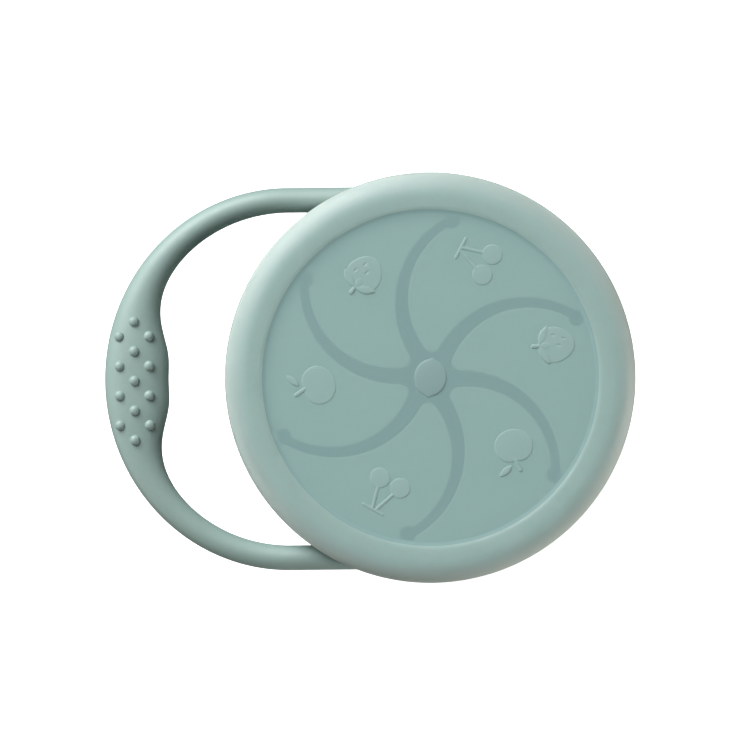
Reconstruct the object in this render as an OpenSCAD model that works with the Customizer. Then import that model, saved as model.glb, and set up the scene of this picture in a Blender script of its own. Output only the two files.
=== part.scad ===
// Toddler snack cup, moulded in soft silicone.
// A tapered cup carries a wide carrying loop on a band under its rim, a spill lid cut into
// six curved flaps, and a translucent dust cover with fruit figures in low relief.
// Millimetres, +Z up, origin at the centre of the flat base, the loop on the -X side.

/* [Cup] */
// Height of the cup from the base to its rim
cup_h = 64; // [60:0.5:68]
// Outer radius at the foot of the side wall
foot_r = 34; // [33:0.5:35]
// Radius of the rounded edge between base and side wall
foot_round = 7; // [5:0.5:8]
// Lean of the side wall from upright, in degrees
wall_lean = 8; // [7.6:0.1:8.4]
// Thickness of the side wall
wall_t = 2; // [1.6:0.1:2.4]
// Thickness of the floor
floor_t = 2.4; // [2:0.1:3]
// Outer radius of the straight collar under the rim
collar_r = 40.5; // [40.2:0.1:40.8]
// Outer radius of the rim flange
flange_r = 46; // [45.6:0.1:46]
// Thickness of the rim flange
flange_t = 3; // [2.6:0.1:3]

/* [Handle] */
// Height of the band around the collar
band_h = 6.6; // [6:0.1:6.6]
// Thickness of the band around the collar
band_t = 3.1; // [2.8:0.1:3.4]
// Diameter of the two straight arms
arm_d = 6.1; // [5.8:0.1:6.2]
// Distance of each arm's centre line from the middle plane
arm_y = 43.7; // [43.6:0.1:44.2]
// Length of each straight arm
arm_len = 34.6; // [32:0.2:40]
// Reach of the bow past the ends of the arms
bow_reach = 44.85; // [42:0.05:48]
// Width of the grip at the middle of the bow
grip_w = 15.6; // [13:0.2:17]
// Height of the grip at the middle of the bow
grip_h = 8.8; // [7:0.2:10]
// Half angle of the bow over which the grip narrows to half its extra width
grip_spread = 24; // [20:1:28]

/* [Grip bumps] */
// Distance between neighbouring bumps along the grip
bump_pitch = 7.3; // [6.5:0.1:8]
// Distance of the two outer rows from the middle row
bump_row = 3.6; // [3:0.05:3.8]
// Radius of each bump where it leaves the grip
bump_r = 1.2; // [1:0.05:1.3]
// Height of each bump
bump_h = 0.95; // [0.6:0.05:1]

/* [Flap lid] */
// Thickness of the lid plate and its flaps
flap_t = 1.6; // [1.4:0.1:1.6]
// Distance of each flap's hinge line from the centre
hinge_d = 34; // [33.8:0.1:34]
// Radius of the relief hole at the end of each slit
slit_end_r = 1.85; // [1.6:0.05:1.9]
// Radius of the slit edge that bounds the flap ahead of it
ahead_r = 23.9; // [23.8:0.1:24.2]
// Radius of the slit edge that bounds the flap behind it
behind_r = 20.4; // [20.2:0.1:20.6]
// Radius of each flap's rounded tip
tip_r = 2.2; // [1.8:0.1:2.4]
// Direction of the first slit's outer end, in degrees from +X
slit_turn = 21.4; // [0:0.2:59]

/* [Dust cover] */
// Outer radius of the cover
cover_r = 50; // [50:0.1:50.4]
// Thickness of the cover's flat panel
panel_t = 1.2; // [1:0.1:1.4]
// Radius of the flat panel inside the raised rim
panel_r = 40.5; // [40.4:0.1:41]
// Height of the raised rim above the panel
rim_rise = 0.55; // [0.5:0.05:1.2]
// Radius of the rim's highest line, where its long outer roll begins
rim_crest_r = 44.2; // [42.8:0.1:44.6]
// Height over which the rim rolls down to the cover's outer edge
roll_h = 4.6; // [4:0.1:4.8]
// Height of the fruit figures above the panel
relief_h = 0.4; // [0.3:0.1:0.7]

/* [Hidden] */
$fn = 96;
silicone = [0.56, 0.68, 0.66];
milky_silicone = [0.62, 0.73, 0.71, 0.6];

// Clearances between pieces that come apart
skirt_gap = 0.3;
hinge_gap = 0.3;
flap_cover_gap = 0.4;

petals = 6;
petal_turn = 360 / petals;
rim_z = cup_h;
flange_z = rim_z - flange_t;
collar_inner_r = collar_r - wall_t + 0.1;
band_z = flange_z - band_h;
loop_z = flange_z - arm_d / 2 - 0.25;

// Edge radii of the mouldings
soft = 0.8;
flange_round = 1.2;

// Retaining bead moulded under the band
bead_r = 0.9;
bead_z = band_z - bead_r - 0.1;

// Lid plate and its skirt
lid_top = rim_z + flap_t;
lid_skirt_in = flange_r + skirt_gap;
lid_skirt_out = lid_skirt_in + 1.6;
lid_round = 1.5;
skirt_z = flange_z + 0.45;

// Cover panel and skirt
panel_z = lid_top + flap_cover_gap;
panel_top = panel_z + panel_t;
cover_top = panel_top + rim_rise;
cover_skirt_in = lid_skirt_out + skirt_gap;
seat_out_r = lid_skirt_out - lid_round - 0.2;

// Low slope where the panel meets the rim
wall_run = 1.2;
wall_rise = 0.43;

// Leaves and seeds on the fruit figures
leaf_lift = 0.15;
seed_depth = 0.2;

// ---- points and curves ----

function polar(r, a) = [r * cos(a), r * sin(a)];

function unit(v) = v / norm(v);

function bearing(v) = atan2(v[1], v[0]);

// Points on an arc about c from angle a0 to a1, both ends included
function arc(c, r, a0, a1, steps = 6) =
    [for (i = [0:steps]) c + polar(r, a0 + (a1 - a0) * i / steps)];

// The same on an ellipse that is rx wide and ry high
function oval_arc(c, rx, ry, a0, a1, steps = 10) =
    [for (i = [0:steps])
        let (a = a0 + (a1 - a0) * i / steps) c + [rx * cos(a), ry * sin(a)]];

// Crossing of two circles, on the left of the way from c0 to c1 when side is 1
function circle_cross(c0, r0, c1, r1, side) =
    let (d = norm(c1 - c0), u = (c1 - c0) / d,
         along = (r0 * r0 - r1 * r1 + d * d) / (2 * d),
         across = sqrt(r0 * r0 - along * along))
    c0 + along * u + side * across * [-u[1], u[0]];

// Eases from 0 to 1 with level ends
function ease(t) = t * t * (3 - 2 * t);

// ---- cup ----

// Where a wall that leans outward leaves the foot rounding of radius r about c
function wall_start(c, r) = c + polar(r, -wall_lean);

// Height at which that wall reaches radius at_r
function wall_height(start, at_r) = start[1] + (at_r - start[0]) / tan(wall_lean);

module cup_body() {
    out_c = [foot_r - foot_round, foot_round];
    in_round = foot_round - wall_t;
    in_c = [out_c[0], floor_t + in_round];
    out_wall = wall_start(out_c, foot_round);
    in_wall = wall_start(in_c, in_round);
    lip_r = flange_r - flange_round;
    outside = concat(
        [[0, 0]],
        arc(out_c, foot_round, -90, -wall_lean, 8),
        [[collar_r, wall_height(out_wall, collar_r)]],
        arc([collar_r, bead_z], bead_r, -90, 90, 8),
        [[collar_r, flange_z]],
        arc([flange_r - soft, flange_z + soft], soft, -90, 0),
        arc([lip_r, rim_z - flange_round], flange_round, 0, 90));
    inside = concat(
        arc([collar_inner_r + soft, rim_z - soft], soft, 90, 180),
        [[collar_inner_r, wall_height(in_wall, collar_inner_r)]],
        arc(in_c, in_round, -wall_lean, -90, 8),
        [[0, floor_t]]);
    color(silicone) rotate_extrude() polygon(concat(outside, inside));
}

// ---- handle ----

// Share of the grip's extra width at angle a along the bow, 1 at the middle and 0 at the arms
function grip_share(a) = (1 - pow(abs(a) / 90, 6)) / (1 + pow(abs(a) / grip_spread, 3.5));

function loop_width(a) = arm_d + (grip_w - arm_d) * grip_share(a);

function loop_height(a) = arm_d + (grip_h - arm_d) * grip_share(a);

// Outer edge of the bow, an ellipse that runs into the arms' outer edges
bow_b = arm_y + arm_d / 2;
function bow_edge(a) = [-arm_len - bow_reach * cos(a), bow_b * sin(a)];
function bow_inward(a) = unit([cos(a) / bow_reach, -sin(a) / bow_b]);

// Stations along half of the loop, as [x, y, inward x, inward y, width, height].
// The root sinks into the band, the arm runs straight, and the bow swells into the grip.
root_turn = 26;
root_steps = 7;
root_d = 2.4;
root_r = collar_r + band_t / 2;
bow_step = 3;
function root_station(t) =
    let (a = root_turn * t, r = arm_y + (root_r - arm_y) * ease(t),
         d = arm_d + (root_d - arm_d) * ease(t))
    [r * sin(a), r * cos(a), -sin(a), -cos(a), d, d];
function bow_station(a) =
    let (n = bow_inward(a), w = loop_width(a), c = bow_edge(a) + n * w / 2)
    [c[0], c[1], n[0], n[1], w, loop_height(a)];
function half_loop() = concat(
    [for (i = [root_steps:-1:0]) root_station(i / root_steps)],
    [for (a = [90:-bow_step:0]) bow_station(a)]);
function mirrored(s) = [s[0], -s[1], s[2], -s[3], s[4], s[5]];
function reversed(list) = [for (i = [len(list) - 1:-1:0]) list[i]];

// Rounded section of width w and height h, squarer than an ellipse where it is wide
loop_sides = 24;
function squareness(w) = 2 + 0.3 * (w - arm_d) / (grip_w - arm_d);
function bulge(v, n) = sign(v) * pow(abs(v), 2 / n);
function loop_ring(s) =
    [for (i = [0:loop_sides - 1])
        let (a = 360 * i / loop_sides, n = squareness(max(s[4], arm_d)),
             u = bulge(cos(a), n) * s[4] / 2)
        [s[0] + u * s[2], s[1] + u * s[3], loop_z + bulge(sin(a), n) * s[5] / 2]];

// Skin over a row of rings that all have the same number of points
module skin(rings) {
    sides = len(rings[0]);
    last = len(rings) - 1;
    walls = [for (i = [0:last - 1], j = [0:sides - 1])
        let (k = (j + 1) % sides)
        each [[i * sides + j, (i + 1) * sides + j, (i + 1) * sides + k],
              [i * sides + j, (i + 1) * sides + k, i * sides + k]]];
    start_cap = [for (j = [0:sides - 1]) j];
    end_cap = [for (j = [sides - 1:-1:0]) last * sides + j];
    polyhedron([for (r = rings) each r], concat(walls, [start_cap, end_cap]), convexity = 8);
}

module carrying_loop() {
    near = half_loop();
    far = [for (s = reversed([for (i = [0:len(near) - 2]) near[i]])) mirrored(s)];
    skin([for (s = concat(near, far)) loop_ring(s)]);
}

module collar_band() {
    out_r = collar_r + band_t;
    edge = 1.4;
    rotate_extrude() polygon(concat(
        [[collar_r, flange_z], [collar_r, band_z]],
        arc([out_r - edge, band_z + edge], edge, -90, 0),
        arc([out_r - edge, flange_z - edge], edge, 0, 90)));
}

// Height of the grip's skin above the loop's middle plane at a point seen from above
function grip_top(p) =
    let (s = bow_station(asin(p[1] / bow_b)),
         off = abs((p[0] - s[0]) * s[2] + (p[1] - s[1]) * s[3]),
         n = squareness(s[4]))
    s[5] / 2 * pow(1 - pow(off / (s[4] / 2), n), 1 / n);

// Dome with steep sides, rooted 1 mm deep in the grip
dome_squareness = 2.2;
module bump() {
    side = [for (a = [0:15:90])
        [bump_r * bulge(cos(a), dome_squareness), bump_h * bulge(sin(a), dome_squareness)]];
    rotate_extrude($fn = 32) polygon(concat([[0, -1], [bump_r, -1]], side));
}

// Three staggered rows of domes: five in the middle row and four in each outer one
bump_shift = -0.6;
module grip_bumps() {
    middle_x = -arm_len - bow_reach + grip_w / 2 + bump_shift;
    for (row = [-1:1], i = [-2:2])
        if (row == 0 || i < 2) {
            spot = [middle_x + row * bump_row, (i + (row == 0 ? 0 : 0.5)) * bump_pitch];
            translate(concat(spot, loop_z + grip_top(spot))) bump();
        }
}

module handle() {
    color(silicone) {
        collar_band();
        carrying_loop();
        grip_bumps();
    }
}

// ---- flap lid ----

// Each slit lies between two arcs. These are their centres for a slit that ends on +X:
// the edge of the flap ahead of the slit, and the edge of the flap behind it.
ahead_place = [23.6, -33];
behind_place = [24.4, -30];
hinge_end = hinge_d / cos(petal_turn / 2);

function slit_end(i) = polar(hinge_end, slit_turn + i * petal_turn);

module slit_ends() {
    for (i = [0:petals - 1])
        translate(concat(slit_end(i), rim_z - 1)) cylinder(h = flap_t + 2, r = slit_end_r);
}

// Where a slit curls past the hinge line it also bites into the ring
module slit_curls() {
    bite = 14;
    for (i = [0:petals - 1])
        rotate(slit_turn + i * petal_turn) intersection() {
            translate(concat(polar(ahead_place[0], ahead_place[1]), rim_z - 1))
                cylinder(h = flap_t + 2, r = ahead_r);
            translate([0, 0, rim_z - 1]) linear_extrude(flap_t + 2)
                polygon([polar(hinge_d - 3, 0), polar(hinge_end + 1, 0),
                         polar(hinge_end + 1, bite), polar(hinge_d - 3, bite)]);
        }
}

module flap_ring() {
    plate = concat(
        [[hinge_d - 6, rim_z], [lid_skirt_in - flange_round, rim_z]],
        arc([lid_skirt_in - flange_round, rim_z - flange_round], flange_round, 90, 0),
        [[lid_skirt_in, skirt_z], [lid_skirt_out, skirt_z]],
        arc([lid_skirt_out - lid_round, lid_top - lid_round], lid_round, 0, 90),
        [[hinge_d - 6, lid_top]]);
    color(silicone) difference() {
        rotate_extrude() polygon(plate);
        translate([0, 0, rim_z - 1]) linear_extrude(flap_t + 2)
            polygon([for (i = [0:petals - 1]) slit_end(i)]);
        slit_ends();
        slit_curls();
    }
}

// Outline of the flap whose hinge line faces +X: the hinge edge, the curved edge along the
// slit behind it, the rounded tip near the middle, and the curved edge along the slit ahead
function flap_outline() =
    let (half = petal_turn / 2,
         lead = polar(ahead_place[0], ahead_place[1] - half),
         trail = polar(behind_place[0], behind_place[1] + half),
         edge_x = hinge_d - hinge_gap,
         lead_y = lead[1] + sqrt(pow(ahead_r, 2) - pow(edge_x - lead[0], 2)),
         trail_y = trail[1] + sqrt(pow(behind_r, 2) - pow(edge_x - trail[0], 2)),
         tip = circle_cross(trail, behind_r - tip_r, lead, ahead_r + tip_r, -1),
         trail_turn = bearing(tip - trail),
         lead_turn = bearing(tip - lead))
    concat(
        arc(trail, behind_r, bearing([edge_x, trail_y] - trail), trail_turn, 28),
        arc(tip, tip_r, trail_turn, lead_turn + 180, 9),
        arc(lead, ahead_r, lead_turn, bearing([edge_x, lead_y] - lead), 24));

module petal(i) {
    color(silicone) difference() {
        translate([0, 0, rim_z]) rotate(slit_turn + (i - 0.5) * petal_turn)
            linear_extrude(flap_t) polygon(flap_outline());
        slit_ends();
    }
}

// ---- dust cover ----

module cover_shell() {
    round_in = lid_round + skirt_gap;
    roll_w = cover_r - rim_crest_r;
    outside = concat(
        [[0, panel_z], [0, panel_top], [panel_r, panel_top],
         [panel_r + wall_run, panel_top + wall_rise]],
        oval_arc([rim_crest_r, cover_top - roll_h], roll_w, roll_h, 90, 0),
        [[cover_r, skirt_z + soft], [cover_r - soft, skirt_z]]);
    inside = concat(
        [[cover_skirt_in, skirt_z]],
        arc([cover_skirt_in - round_in, lid_top + skirt_gap - round_in], round_in, 0, 90),
        [[seat_out_r, lid_top], [panel_r + 0.6, lid_top], [panel_r + 0.2, panel_z]]);
    rotate_extrude() polygon(concat(outside, inside));
}

// Pointed leaf from the origin along +X, bounded by two arcs
module leaf(length, width) {
    r = (length * length + width * width) / (4 * width);
    intersection() {
        translate([length / 2, r - width / 2]) circle(r);
        translate([length / 2, width / 2 - r]) circle(r);
    }
}

// Straight bar from a to b with square ends
module bar(a, b, width) {
    translate(a) rotate(bearing(b - a)) translate([0, -width / 2])
        square([norm(b - a), width]);
}

// Closed outline that a radius function draws around the origin, from +Y clockwise
function lap(radii) = [for (i = [0:len(radii) - 1])
    let (a = 360 * i / len(radii)) radii[i] * [sin(a), cos(a)]];

lap_step = 10;
function dip(a, width) = exp(-pow((a > 180 ? a - 360 : a) / width, 2));

module raised(extra = 0) {
    translate([0, 0, panel_top - 0.2]) linear_extrude(relief_h + 0.2 + extra) children();
}

// Pointed dent in the top of a figure
module seed(place) {
    translate([place[0], place[1], panel_top + relief_h - seed_depth]) rotate(82)
        linear_extrude(1) leaf(1.2, 0.55);
}

module strawberry() {
    crown = [0, 4.2];
    difference() {
        raised() polygon(lap([for (a = [0:lap_step:359]) 4.3 - 0.2 * cos(3 * a)]));
        for (place = [[2.25, 0], [1.25, -2.5], [-0.3, -1.1]]) seed(place);
    }
    for (a = [-26, 206]) raised(leaf_lift) translate(crown) rotate(a) leaf(5.2, 2);
    raised(leaf_lift) translate(crown) rotate(-92) leaf(3.2, 2);
    raised(leaf_lift) bar(crown, crown + [0, 1.4], 1);
}

module apple() {
    raised() polygon(lap([for (a = [0:lap_step:359])
        4.4 - 0.28 * cos(2 * a) - 0.45 * dip(a, 22)]));
    raised() bar([0.2, 3.2], [-0.65, 6], 0.95);
    raised() translate([1.2, 4.6]) rotate(32) leaf(4, 1.6);
}

module cherries() {
    drop = [[2.2, -7.5], [-3.3, -7.65]];
    raised() translate([-2.9, -0.35]) square([5.8, 0.75]);
    for (c = drop) {
        raised() translate(c) circle(2.45);
        raised() bar([c[0] > 0 ? 0.2 : -0.6, 0], c, 0.75);
    }
}

module lemon() {
    raised() leaf_body(9.6, 7.7);
}

// Plump pointed oval of a given length along Y
module leaf_body(length, width) {
    polygon(lap([for (a = [0:lap_step:359])
        let (oval = 1 / sqrt(pow(sin(a) / width, 2) + pow(cos(a) / (length - 0.7), 2)))
        oval / 2 + 0.35 * (dip(a, 12) + dip((a + 180) % 360, 12))]));
}

module dust_cover() {
    color(milky_silicone) {
        cover_shell();
        rotate(-7.6) lemon();
        translate([-15.6, 25.3]) rotate(142.4) strawberry();
        translate([30.6, 7.7]) rotate(94.4) strawberry();
        translate([-27.2, -1.5]) rotate(107.4) apple();
        translate([20, -16.8]) rotate(-170.6) apple();
        translate([7.7, 31.3]) rotate(61.4) cherries();
        translate([-14.3, -31.8]) rotate(150.4) cherries();
    }
}

cup_body();
handle();
flap_ring();
petal(1);  // petal_1
petal(2);  // petal_2
petal(3);  // petal_3
petal(4);  // petal_4
petal(5);  // petal_5
petal(6);  // petal_6
dust_cover();
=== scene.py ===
import bmesh
import bpy
import numpy as np
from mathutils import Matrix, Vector
from mathutils.geometry import delaunay_2d_cdt


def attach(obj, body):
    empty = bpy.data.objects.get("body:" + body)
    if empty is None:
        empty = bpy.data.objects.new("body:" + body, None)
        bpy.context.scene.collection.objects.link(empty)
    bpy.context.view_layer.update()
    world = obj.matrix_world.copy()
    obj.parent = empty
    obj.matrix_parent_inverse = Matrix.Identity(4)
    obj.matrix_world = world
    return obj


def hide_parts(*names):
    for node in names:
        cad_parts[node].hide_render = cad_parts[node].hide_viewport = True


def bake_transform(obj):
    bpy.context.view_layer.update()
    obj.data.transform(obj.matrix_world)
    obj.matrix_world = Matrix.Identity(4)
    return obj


# Toddler snack cup in soft silicone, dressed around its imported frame.
# The cup stands on the floor with its axis on Z, and the carrying loop lies towards -X.
# Shapes are worked out in millimetres and become metres when they are made into meshes.
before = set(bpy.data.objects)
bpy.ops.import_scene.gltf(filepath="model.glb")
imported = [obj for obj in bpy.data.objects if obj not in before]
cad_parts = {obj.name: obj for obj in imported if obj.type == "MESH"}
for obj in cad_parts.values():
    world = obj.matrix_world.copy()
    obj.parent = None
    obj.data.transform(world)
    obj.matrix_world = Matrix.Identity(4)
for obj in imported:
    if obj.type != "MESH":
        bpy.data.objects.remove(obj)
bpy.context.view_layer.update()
mm = 0.001

# Heights where one piece meets the next
level = {
    "bandFoot": 54.4,
    "loopMiddle": 57.7,
    "flangeFoot": 61.0,
    "skirtFoot": 61.45,   # bottom of both skirts
    "cupRim": 64.0,
    "lidTop": 65.6,
    "panelFoot": 66.0,
    "panelTop": 67.2,
    "coverTop": 67.75,
}
weldGap = 0.002           # points closer than this become one
print("frame loaded")


# Finishes

def addNodes(nodes, *kinds):
    return [nodes.new("ShaderNode" + kind) for kind in kinds]


def noiseField(nodes, links, place, scale, detail):
    field = nodes.new("ShaderNodeTexNoise")
    field.inputs["Scale"].default_value = scale
    field.inputs["Detail"].default_value = detail
    links.new(place.outputs["Object"], field.inputs["Vector"])
    return field.outputs["Fac"]


# The source's range fromLow to fromHigh becomes low to high, and stays there beyond
def spread(nodes, links, source, low, high, fromLow=0.3, fromHigh=0.7):
    step = nodes.new("ShaderNodeMapRange")
    for name, value in (("From Min", fromLow), ("From Max", fromHigh), ("To Min", low), ("To Max", high)):
        step.inputs[name].default_value = value
    links.new(source, step.inputs["Value"])
    return step.outputs["Result"]


# First and second are fixed colours or the outputs of other nodes
def blendColour(nodes, links, share, first, second):
    mix = nodes.new("ShaderNodeMix")
    mix.data_type = "RGBA"
    links.new(share, mix.inputs["Factor"])
    for socket, colour in ((mix.inputs[6], first), (mix.inputs[7], second)):
        if isinstance(colour, tuple):
            socket.default_value = (*colour, 1)
        else:
            links.new(colour, socket)
    return mix.outputs[2]


# A soft band round the cup's axis: strongest at its radius and gone one width away from it
def ringMask(nodes, links, place, radius, width, strength):
    flat, length, offset, size = addNodes(nodes, "VectorMath", "VectorMath", "Math", "Math")
    flat.operation, length.operation = "MULTIPLY", "LENGTH"
    offset.operation, size.operation = "SUBTRACT", "ABSOLUTE"
    flat.inputs[1].default_value = (1, 1, 0)
    offset.inputs[1].default_value = radius * mm
    links.new(place.outputs["Object"], flat.inputs[0])
    links.new(flat.outputs[0], length.inputs[0])
    links.new(length.outputs["Value"], offset.inputs[0])
    links.new(offset.outputs[0], size.inputs[0])
    return spread(nodes, links, size.outputs[0], strength, 0, 0, width * mm)


# Light spreads inside milky silicone and evens out its shading, so the shading normal of the faces
# that look up leans towards straight up. Its share rises with the normal's Z from 0 to glow, and the
# result gets length 1 again.
def softNormal(nodes, links, glow, steepest, softRange):
    surface, parts = addNodes(nodes, "NewGeometry", "SeparateXYZ")
    links.new(surface.outputs["Normal"], parts.inputs[0])
    share = spread(nodes, links, parts.outputs["Z"], 0, glow, steepest - softRange, steepest)
    lean, unit = addNodes(nodes, "Mix", "VectorMath")
    lean.data_type = "VECTOR"
    links.new(share, lean.inputs["Factor"])
    links.new(surface.outputs["Normal"], lean.inputs[4])
    lean.inputs[5].default_value = (0, 0, 1)
    unit.operation = "NORMALIZE"
    links.new(lean.outputs[1], unit.inputs[0])
    return unit.outputs[0]


# Entries of a finish's dictionary that go straight into an input of its shader
plainInputs = {
    "ior": "IOR", "gloss": "Specular IOR Level", "alpha": "Alpha", "soak": "Subsurface Weight",
    "soakReach": "Subsurface Radius", "bloom": "Sheen Weight", "bloomRoughness": "Sheen Roughness",
    "skin": "Coat Weight", "skinRoughness": "Coat Roughness", "skinIor": "Coat IOR",
}


# Satin silicone: cloudy pigment, finer mottling, paler worn edges, bands of painted light where a finish
# lists them, and a moulded grain in the bump
def siliconeFinish(name, look):
    finish = bpy.data.materials.new(name)
    finish.use_nodes = True
    nodes, links = finish.node_tree.nodes, finish.node_tree.links
    shader = nodes["Principled BSDF"]
    place = nodes.new("ShaderNodeTexCoord")

    clouds = noiseField(nodes, links, place, look["cloudScale"], 3)
    mottle = noiseField(nodes, links, place, look["mottleScale"], 2)
    pigmentAndPaintedLight = blendColour(nodes, links, spread(nodes, links, clouds, 0, 1),
                          look["colour"], look["cloudColour"])
    pigmentAndPaintedLight = blendColour(nodes, links, spread(nodes, links, mottle, 0, look["mottleShare"]),
                          pigmentAndPaintedLight, look["mottleColour"])
    surface = nodes.new("ShaderNodeNewGeometry")
    worn = spread(nodes, links, surface.outputs["Pointiness"], 0, look["edgeShare"], *look["edgePoint"])
    pigmentAndPaintedLight = blendColour(nodes, links, worn, pigmentAndPaintedLight, look["edgeColour"])
    # Bands of painted light: each lays a soft ring of its own colour round the axis, standing in for sheen
    # and glow
    for radius, width, share, colour in look["rings"]:
        band = ringMask(nodes, links, place, radius, width, share)
        pigmentAndPaintedLight = blendColour(nodes, links, band, pigmentAndPaintedLight, colour)
    links.new(pigmentAndPaintedLight, shader.inputs["Base Color"])

    handled = noiseField(nodes, links, place, look["polishScale"], 3)
    links.new(spread(nodes, links, handled, *look["roughness"]), shader.inputs["Roughness"])

    grain = noiseField(nodes, links, place, look["grainScale"], 2)
    ripple = noiseField(nodes, links, place, look["rippleScale"], 1)
    grainBump, rippleBump = addNodes(nodes, "Bump", "Bump")
    for bump, height, depth in ((grainBump, grain, look["grainDepth"]),
                                (rippleBump, ripple, look["rippleDepth"])):
        bump.inputs["Distance"].default_value = depth * mm
        links.new(height, bump.inputs["Height"])
    links.new(rippleBump.outputs["Normal"], grainBump.inputs["Normal"])
    links.new(grainBump.outputs["Normal"], shader.inputs["Normal"])
    if look["glow"] > 0:
        softened = softNormal(nodes, links, look["glow"], look["steepest"], look["softRange"])
        links.new(softened, rippleBump.inputs["Normal"])

    shader.inputs["Subsurface Scale"].default_value = mm
    for key, socket in plainInputs.items():
        shader.inputs[socket].default_value = look[key]
    return finish


solidLook = {
    "colour": (0.285, 0.405, 0.372),
    "cloudColour": (0.27, 0.393, 0.362),
    "cloudScale": 55,
    "mottleColour": (0.33, 0.44, 0.41),
    "mottleScale": 700,
    "mottleShare": 0.25,
    "edgeColour": (0.36, 0.47, 0.44),
    "edgeShare": 0.35,
    "edgePoint": (0.52, 0.62),   # pointiness where an edge starts to look worn, and where it fully does
    "rings": [],           # bands of painted light: radius, width, share and colour of each
    "polishScale": 160,    # patches that handling has made smoother
    "roughness": (0.52, 0.6),
    "grainScale": 5200,
    "grainDepth": 0.012,
    "rippleScale": 420,
    "rippleDepth": 0.03,
    "ior": 1.5,
    "gloss": 1,
    "soak": 0.03,          # share of the light that goes in and comes out elsewhere, and how far away
    "soakReach": (1.6, 2.0, 1.9),
    "bloom": 0.05,         # powdery sheen
    "bloomRoughness": 0.5,
    "glow": 0,             # how far the light inside evens out the shading
    "steepest": 0.4,       # faces steeper than this (the normal's Z) even out less,
    "softRange": 0.5,      # and not at all from this much further on
    "skin": 0,             # clear layer on top
    "skinRoughness": 0.56,
    "skinIor": 1.5,
    "alpha": 1,
}
milkyLook = {
    **solidLook,
    "colour": (0.36, 0.425, 0.33),
    "cloudColour": (0.345, 0.41, 0.318),
    "soak": 0.1,
    "glow": 0.6,
    "gloss": 0.4,
}
rimLook = {
    **solidLook,
    "colour": (0.355, 0.515, 0.48),
    "cloudColour": (0.34, 0.5, 0.468),
    "mottleColour": (0.385, 0.535, 0.503),
    "edgeColour": (0.42, 0.565, 0.535),
    "rings": [(50.3, 5.0, 0.75, (0.455, 0.535, 0.49))],   # painted sheen and translucent glow: the thin outer edge is painted paler and warmer all round
    "soak": 1,
    "soakReach": (7.5, 6.3, 5.7),
    "glow": 0.3,
    "gloss": 0.3,
    "skin": 1,
    "skinIor": 1.65,
}
clearLook = {
    **solidLook,
    "colour": (0.4, 0.655, 0.645),
    "cloudColour": (0.385, 0.64, 0.63),
    "mottleColour": (0.43, 0.675, 0.665),
    "edgeColour": (0.48, 0.7, 0.69),
    "soak": 0,
    "glow": 0.6,
    "steepest": 0.1,
    "gloss": 0.3,
    "skin": 1,
    "skinIor": 1.65,
    "alpha": 0.56,
}
figureLook = {
    **clearLook,
    "colour": (0.43, 0.66, 0.65),
    "cloudColour": (0.415, 0.645, 0.635),
    "alpha": 0.6,
}
cupFinish = siliconeFinish("cupSilicone", solidLook)
loopFinish = siliconeFinish("loopSilicone", solidLook)
lidFinish = siliconeFinish("lidSilicone", milkyLook)
rimFinish = siliconeFinish("coverRimSilicone", rimLook)
panelFinish = siliconeFinish("coverPanelSilicone", clearLook)
underFinish = siliconeFinish("coverUndersideSilicone", {**clearLook, "alpha": 0.12})
figureFinish = siliconeFinish("coverFigureSilicone", figureLook)
print("finishes made")


# Meshes

# Quads of a grid laid out row by row: each joins a point to the next one in its row and in the next row
def gridFaces(rows, columns, closeRows=False):
    row, column = np.meshgrid(np.arange(rows - (not closeRows)), np.arange(columns), indexing="ij")
    nextRow, nextColumn = (row + 1) % rows, (column + 1) % columns
    corners = [row * columns + column, row * columns + nextColumn,
               nextRow * columns + nextColumn, nextRow * columns + column]
    return np.stack(corners, axis=-1).reshape(-1, 4)


def addObject(name, data):
    thing = bpy.data.objects.new(name, data)
    bpy.context.scene.collection.objects.link(thing)
    return thing


# One closed mesh from shells of (points, faces, finish number): doubles merged, normals outward
def makePiece(name, shells, finishes, sharpAngle=55):
    points = np.vstack([shell[0] for shell in shells]) * mm
    starts = np.cumsum([0] + [len(shell[0]) for shell in shells])
    faces = [face for start, shell in zip(starts, shells) for face in (shell[1] + start).tolist()]
    mesh = bpy.data.meshes.new(name)
    mesh.from_pydata(points.tolist(), [], faces)
    mesh.polygons.foreach_set("material_index", np.repeat([shell[2] for shell in shells],
                                                          [len(shell[1]) for shell in shells]))
    for finish in finishes:
        mesh.materials.append(finish)
    form = bmesh.new()
    form.from_mesh(mesh)
    bmesh.ops.remove_doubles(form, verts=form.verts, dist=weldGap * mm)
    bmesh.ops.recalc_face_normals(form, faces=form.faces)
    form.to_mesh(mesh)
    openEdges = sum(not edge.is_manifold for edge in form.edges)
    form.free()
    mesh.polygons.foreach_set("use_smooth", np.ones(len(mesh.polygons), bool))
    mesh.set_sharp_from_angle(angle=np.radians(sharpAngle))
    piece = addObject(name, mesh)
    print("made", name, len(mesh.polygons), "faces,", openEdges, "open edges")
    return piece


# Points round an arc of a circle or ellipse: centre plus the radii times the cosine and sine of the angle
def arcPoints(centre, radii, fromAngle, toAngle, steps):
    angle = np.radians(np.linspace(fromAngle, toAngle, steps + 1))
    return np.array(centre) + np.column_stack([np.cos(angle), np.sin(angle)]) * radii


def straightRun(start, end, steps):
    share = np.linspace(0, 1, steps + 1)[:, None]
    return np.array(start) * (1 - share) + np.array(end) * share


def polar(radius, angle):
    return radius * np.array([np.cos(np.radians(angle)), np.sin(np.radians(angle))])


# Smooth step from 0 to 1: 3 t^2 - 2 t^3
def ease(t):
    return t * t * (3 - 2 * t)


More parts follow.
